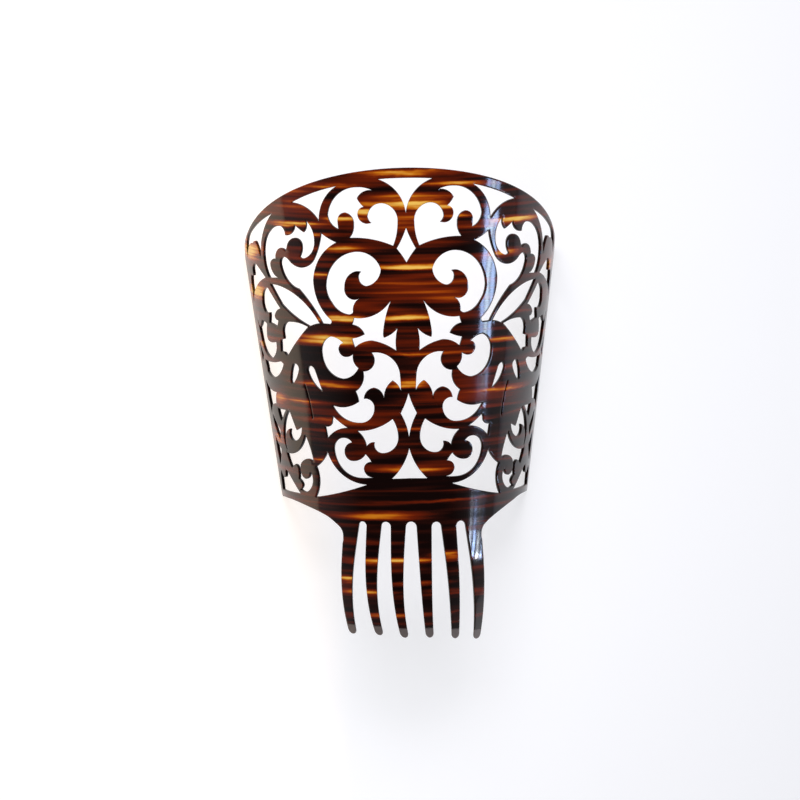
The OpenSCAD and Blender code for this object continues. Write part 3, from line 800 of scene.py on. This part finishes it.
def streak_group():
    """One soft streak of amber, laid over those that are there already."""
    tree = bpy.data.node_groups.new("amber_streak", "ShaderNodeTree")
    for name, kind in (("Place", "Vector"), ("At", "Vector"), ("Half Size", "Vector"),
                       ("Strength", "Float"), ("Below", "Float")):
        tree.interface.new_socket(name, in_out="INPUT", socket_type="NodeSocket" + kind)
    tree.interface.new_socket("Amber", in_out="OUTPUT", socket_type="NodeSocketFloat")
    node = partial(add_node, tree)
    given = node("NodeGroupInput").outputs
    off = node(VECTOR, given["Place"], given["At"], operation="SUBTRACT")
    share = node(VECTOR, off, given["Half Size"], operation="DIVIDE")
    far = node(VECTOR, share, share, operation="DOT_PRODUCT").outputs["Value"]
    fade = node(MATH, node(MATH, far, -1, operation="MULTIPLY"), operation="EXPONENT")
    glow = node(MATH, fade, given["Strength"], operation="MULTIPLY")
    node("NodeGroupOutput", node(MATH, glow, given["Below"], operation="MAXIMUM"))
    return tree


def new_material(name):
    """An empty material and the function that adds a node to it."""
    material = bpy.data.materials.new(name)
    material.use_nodes = True
    material.node_tree.nodes.clear()
    return material, partial(add_node, material.node_tree)


def tortoiseshell(look):
    """Cellulose acetate with a tortoiseshell pattern, sliced from a block, bent and polished."""
    # Amber streaks lie deep in a near-black brown, under a glassy surface
    material, node = new_material("tortoiseshell_acetate")
    read = {name: node("ShaderNodeAttribute", attribute_name=name,
                       attribute_type="GEOMETRY").outputs
            for name in ("flat_sheet", "sawn", "from_tip")}
    flat = node(VECTOR, read["flat_sheet"]["Vector"], (1 / MM, 1 / MM, 1 / MM),
                operation="MULTIPLY")
    grain = {}
    for name, length, height, seed, detail, rough in GRAINS:
        drawn = node(VECTOR, flat, (1 / length, 1 / height, 1), operation="MULTIPLY")
        moved = node(VECTOR, drawn, [seed * step for step in SEED_STEP], operation="ADD")
        grain[name] = node("ShaderNodeTexNoise", moved, named={
            "Scale": 1, "Detail": detail, "Roughness": rough})

    def summed(value, rows):
        """The value with each pattern's swing about its middle added."""
        for name, middle, gain in rows:
            swing = node(MATH, grain[name], middle, operation="SUBTRACT")
            value = node(MATH, swing, gain, value, operation="MULTIPLY_ADD")
        return value

    # Slow waves bend the streaks a little off the horizontal
    split = node("ShaderNodeSeparateXYZ", flat).outputs
    place = node("ShaderNodeCombineXYZ", split[0], summed(split[1], DRIFT))
    group = streak_group()
    streaks = 0
    for x, y, length, height, strength in STREAKS:
        streaks = node("ShaderNodeGroup", node_tree=group, named={
            "Place": place, "At": (x, y, 0), "Half Size": (length, STREAK_SPREAD * height, 1),
            "Strength": strength, "Below": streaks})
    torn = node(MATH, node(MATH, grain["fine"], *TEAR, operation="MULTIPLY_ADD"), streaks,
                operation="MULTIPLY")
    # Bands of brown fill the ground between the streaks
    tone = summed(node(MATH, split[1], LEVEL_TONE, torn, operation="MULTIPLY_ADD"), TONES)
    ramp = node("ShaderNodeValToRGB", tone)
    stops = ((0, look.ground), (0.13, look.deep), (0.41, look.red), (0.57, look.rust),
             (0.72, look.amber), (1, look.gold))
    elements = ramp.color_ramp.elements
    while len(elements) < len(stops):
        elements.new(0.5)
    for element, (at, tint) in zip(elements, stops):
        element.position = at
        element.color = (*tint, 1)
    # A sawn wall looks through the whole width of dark sheet, and lies in the shade of its cut:
    # its near black, which reaches a little onto the rounded edge, is partly that own dark and
    # partly painted shade
    sawn = node("ShaderNodeMapRange", read["sawn"]["Fac"], WALL_DARK_AND_SHADE_FROM, 1, 0, WALL_DARK_AND_SHADE_SHARE)
    dark = node(MIX, data_type="RGBA", named={0: sawn, 6: ramp, 7: (*look.wall, 1)})
    # The last few millimetres of each tine are drawn rougher, and painted pale grey as a painted
    # highlight
    to_tip = node(MATH, read["from_tip"]["Fac"], 1 / MM, operation="MULTIPLY")
    matt_tip_sheen = node("ShaderNodeMapRange", summed(to_tip, TIP_DRIFT), MATT_TIP_SHEEN_END, MATT_TIP_SHEEN_FULL, 0, 1)
    share = node(MATH, matt_tip_sheen, TIP_SHEEN_SHARE, operation="MULTIPLY")
    tipped = node(MIX, data_type="RGBA", named={
        0: share, 6: dark.outputs[2], 7: (*look.matt_tip_sheen, 1)})
    polish = node(MATH, grain["fine"], FINE_ROUGH, POLISH_ROUGH, operation="MULTIPLY_ADD")
    bump = node("ShaderNodeBump", named={
        "Strength": UNEVEN_SHARE, "Distance": UNEVEN_DEPTH, "Height": grain["uneven"]})
    shader = node("ShaderNodeBsdfPrincipled", named={
        "Base Color": tipped.outputs[2], "IOR": ACETATE_IOR, "Normal": bump,
        "Roughness": node(MATH, matt_tip_sheen, FROST_ROUGH, polish, operation="MULTIPLY_ADD")})
    node("ShaderNodeOutputMaterial", shader)
    return material


# The paper glows full out to the first distance from a point on the left, and fades to a
# share of that at the second. All in metres
GLOW_CENTRE = (-0.3, 0, 0)
GLOW_NEAR, GLOW_FAR, GLOW_LEAST = 0.24, 1.2, 0.12
# A warm lamp adds to the glow from the first x on, and in full from the second
WARM_FROM, WARM_FULL, WARM_SHARE = -0.03, -0.13, 0.6
PAPER_ROUGH = 0.9


def floor_paper(look):
    """Pale matt paper, lit from behind."""
    # Its glow keeps the shadow under the arch pale, and the sheet mirrors it at the sides
    material, node = new_material("pale_paper")
    place = node("ShaderNodeTexCoord").outputs["Object"]
    far = node(VECTOR, place, GLOW_CENTRE, operation="DISTANCE").outputs["Value"]
    near = node("ShaderNodeMapRange", far, GLOW_NEAR, GLOW_FAR, 1, GLOW_LEAST)
    across = node("ShaderNodeSeparateXYZ", place)
    warm = node("ShaderNodeMapRange", across, WARM_FROM, WARM_FULL, 0, 1)
    tint = node(MIX, data_type="RGBA", named={
        0: warm, 6: (*look.glow, 1), 7: (*look.warm_glow, 1)})
    lamp = node(MATH, warm, WARM_SHARE, 1, operation="MULTIPLY_ADD")
    both = node(MATH, near, lamp, operation="MULTIPLY")
    shader = node("ShaderNodeBsdfPrincipled", named={
        "Base Color": (*look.paper, 1), "Roughness": PAPER_ROUGH,
        "Emission Color": tint.outputs[2],
        "Emission Strength": node(MATH, both, look.paper_glow, operation="MULTIPLY")})
    node("ShaderNodeOutputMaterial", shader)
    return material


# Stage, in metres

FLOOR_HALF = 6
SENSOR_WIDTH = 36
CLIP_END = 20
# The walls glow up to this strength, and less and less up to this height of the view
WALL_GLOW, CEILING_GLOW, CEILING_FROM = 0.42, 0.02, 0.7
LIT_POINT = (0, 0, 0.03)
# Lights beyond the rim and beyond the tines. Columns: name, place, size, setting of its power
SOFT_LIGHTS = (
    ("high_soft", (0, 1.7, 1.1), (1.8, 0.8), "high_light"),
    ("low_soft", (0, -1.7, 0.42), (1.8, 0.36), "low_light"))
# Distance and height of the window's circle, and the size of a pane and of a bar of its sill
WINDOW_AWAY, WINDOW_UP = 1.4, 1.5
PANE, SHORT_SILL, LONG_SILL = (0.13, 0.075), (0.036, 0.05), (0.036, 0.06)
# What the sheet mirrors as an upright blue streak with bars.
# Columns: name, angle above the floor, y, size, share of the power, colour
WINDOW = (
    ("pane_low", 17.8, -0.14, PANE, 1, (0.45, 0.62, 1)),
    ("pane_middle", 21.6, -0.14, PANE, 1, (0.62, 0.78, 1)),
    ("pane_high", 25.2, -0.14, PANE, 1, (0.4, 0.55, 0.95)),
    ("sill_low", 11.5, -0.366, SHORT_SILL, 0.5, (0.5, 0.65, 1)),
    ("sill_middle", 15.5, -0.372, LONG_SILL, 0.7, (0.8, 0.88, 1)),
    ("sill_high", 20, -0.362, LONG_SILL, 0.6, (0.45, 0.6, 1)),
    ("sill_top", 24.2, -0.37, SHORT_SILL, 0.4, (0.7, 0.8, 1)))


def area_light(name, place, size, power, tint=(1, 1, 1), mirrored=False):
    """A rectangular light on the comb, which the polished sheet mirrors or not."""
    light = bpy.data.lights.new(name, "AREA")
    light.shape = "RECTANGLE"
    light.size, light.size_y = size
    light.energy = power
    light.color = tint
    made = bpy.data.objects.new(name, light)
    bpy.context.collection.objects.link(made)
    made.location = place
    way = Vector(LIT_POINT) - Vector(place)
    made.rotation_euler = way.to_track_quat("-Z", "Y").to_euler()
    made.visible_glossy = mirrored


def studio_world(look):
    """Bright walls under a dark ceiling, so that the crown of the bend mirrors little."""
    world = bpy.data.worlds.new("studio")
    world.use_nodes = True
    node = partial(add_node, world.node_tree)
    way = node("ShaderNodeTexCoord").outputs["Generated"]
    up = node("ShaderNodeSeparateXYZ", way).outputs[2]
    glow = node("ShaderNodeMapRange", up, 0, CEILING_FROM, WALL_GLOW, CEILING_GLOW)
    background = world.node_tree.nodes["Background"]
    background.inputs["Color"].default_value = (*look.studio, 1)
    world.node_tree.links.new(glow.outputs[0], background.inputs["Strength"])
    return world


def stage_camera(stage):
    """The camera in its place, turned to its target."""
    camera = bpy.data.cameras.new("camera")
    camera.sensor_width = SENSOR_WIDTH
    camera.lens = stage.lens
    camera.clip_end = CLIP_END
    made = bpy.data.objects.new("camera", camera)
    place = Vector(stage.camera_at)
    back = (place - Vector(stage.target)).normalized()
    right = Vector((0, 1, 0)).cross(back).normalized()
    turned = Matrix((right, back.cross(right), back)).transposed()
    made.matrix_world = (Matrix.Translation(place) @ turned.to_4x4()
                         @ Matrix.Rotation(stage.roll, 4, "Z"))
    return made


# Operators

class COMB_OT_blank(bpy.types.Operator):
    """Saw the flat blank with its outline and all openings"""
    bl_idname = "comb.saw_blank"
    bl_label = "Saw the blank"

    def execute(self, context):
        mesh = build_blank(context.scene.comb_sizes)
        made = bpy.data.objects.new(BLANK_NAME, mesh)
        context.collection.objects.link(made)
        return {"FINISHED"}


class COMB_OT_bend(bpy.types.Operator):
    """Bend the blank round its cone, give it its material and put it in the frame"""
    bl_idname = "comb.bend_sheet"
    bl_label = "Bend the sheet"

    def execute(self, context):
        sizes = context.scene.comb_sizes
        blank = bpy.data.objects[BLANK_NAME]
        tree = bend_tree(tortoiseshell(context.scene.comb_look))
        bend = blank.modifiers.new("bend", "NODES")
        bend.node_group = tree
        tilt, drop = rest_values(sizes)
        values = {
            "Bend Radius": sizes.bend_r * MM, "Cone Angle": sizes.cone_a,
            "Thickness": sizes.sheet_t * MM, "Hook Radius": sizes.hook_r * MM,
            "Inner Hook Radius": sizes.hook_inner_r * MM, "Hook Level": sizes.hook_y * MM,
            "Rest Tilt": tilt, "Rest Drop": drop * MM, "Middle": sizes.middle_y * MM}
        for item in tree.interface.items_tree:
            if item.name in values:
                bend[item.identifier] = values[item.name]
        context.view_layer.update()
        evaluated = blank.evaluated_get(context.evaluated_depsgraph_get())
        mesh = bpy.data.meshes.new_from_object(evaluated)
        mesh.name = PIECE_NAME
        bpy.data.objects.remove(blank)
        piece = bpy.data.objects.new(PIECE_NAME, mesh)
        context.collection.objects.link(piece)
        finish_mesh(mesh)
        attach(piece, "root")
        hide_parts(NODE)
        return {"FINISHED"}


class COMB_OT_stage(bpy.types.Operator):
    """Lay the pale floor and set the camera and the soft lights"""
    bl_idname = "comb.set_stage"
    bl_label = "Set the stage"

    def execute(self, context):
        scene = context.scene
        look = scene.comb_look
        plane = bpy.data.meshes.new("floor")
        corners = [(x * FLOOR_HALF, y * FLOOR_HALF, 0)
                   for x, y in ((-1, -1), (1, -1), (1, 1), (-1, 1))]
        plane.from_pydata(corners, [], [(0, 1, 2, 3)])
        plane.materials.append(floor_paper(look))
        floor = bpy.data.objects.new("floor", plane)
        context.collection.objects.link(floor)
        scene.camera = stage_camera(scene.comb_stage)
        context.collection.objects.link(scene.camera)
        scene.world = studio_world(look)
        scene.view_settings.view_transform = "Standard"
        for name, place, size, power in SOFT_LIGHTS:
            area_light(name, place, size, getattr(look, power))
        for name, lift, y, size, power, tint in WINDOW:
            angle = math.radians(lift)
            place = (WINDOW_AWAY * math.cos(angle), y, WINDOW_UP * math.sin(angle))
            area_light(name, place, size, power * look.window_light, tint, mirrored=True)
        return {"FINISHED"}


class COMB_PT_panel(bpy.types.Panel):
    """Sizes and steps of the comb"""
    bl_idname = "COMB_PT_panel"
    bl_label = "Pierced back comb"
    bl_space_type = "VIEW_3D"
    bl_region_type = "UI"
    bl_category = "Comb"

    def draw(self, context):
        """List every size, colour and step."""
        scene = context.scene
        for group in (scene.comb_sizes, scene.comb_look, scene.comb_stage):
            column = self.layout.column()
            for name in group.bl_rna.properties.keys():
                if name not in ("rna_type", "name"):
                    column.prop(group, name)
        for step in STEPS:
            self.layout.operator(step.bl_idname)


STEPS = (COMB_OT_blank, COMB_OT_bend, COMB_OT_stage)
CLASSES = (CombSizes, CombLook, CombStage, *STEPS, COMB_PT_panel)


def register():
    """Add the classes and the scene's settings."""
    for cls in CLASSES:
        bpy.utils.register_class(cls)
    bpy.types.Scene.comb_sizes = PointerProperty(type=CombSizes)
    bpy.types.Scene.comb_look = PointerProperty(type=CombLook)
    bpy.types.Scene.comb_stage = PointerProperty(type=CombStage)


def unregister():
    """Remove the settings and the classes."""
    del bpy.types.Scene.comb_stage
    del bpy.types.Scene.comb_look
    del bpy.types.Scene.comb_sizes
    for cls in reversed(CLASSES):
        bpy.utils.unregister_class(cls)


def main():
    """Make the comb and its stage."""
    register()
    bpy.ops.comb.saw_blank()
    bpy.ops.comb.bend_sheet()
    bpy.ops.comb.set_stage()


if __name__ == "__main__":
    main()
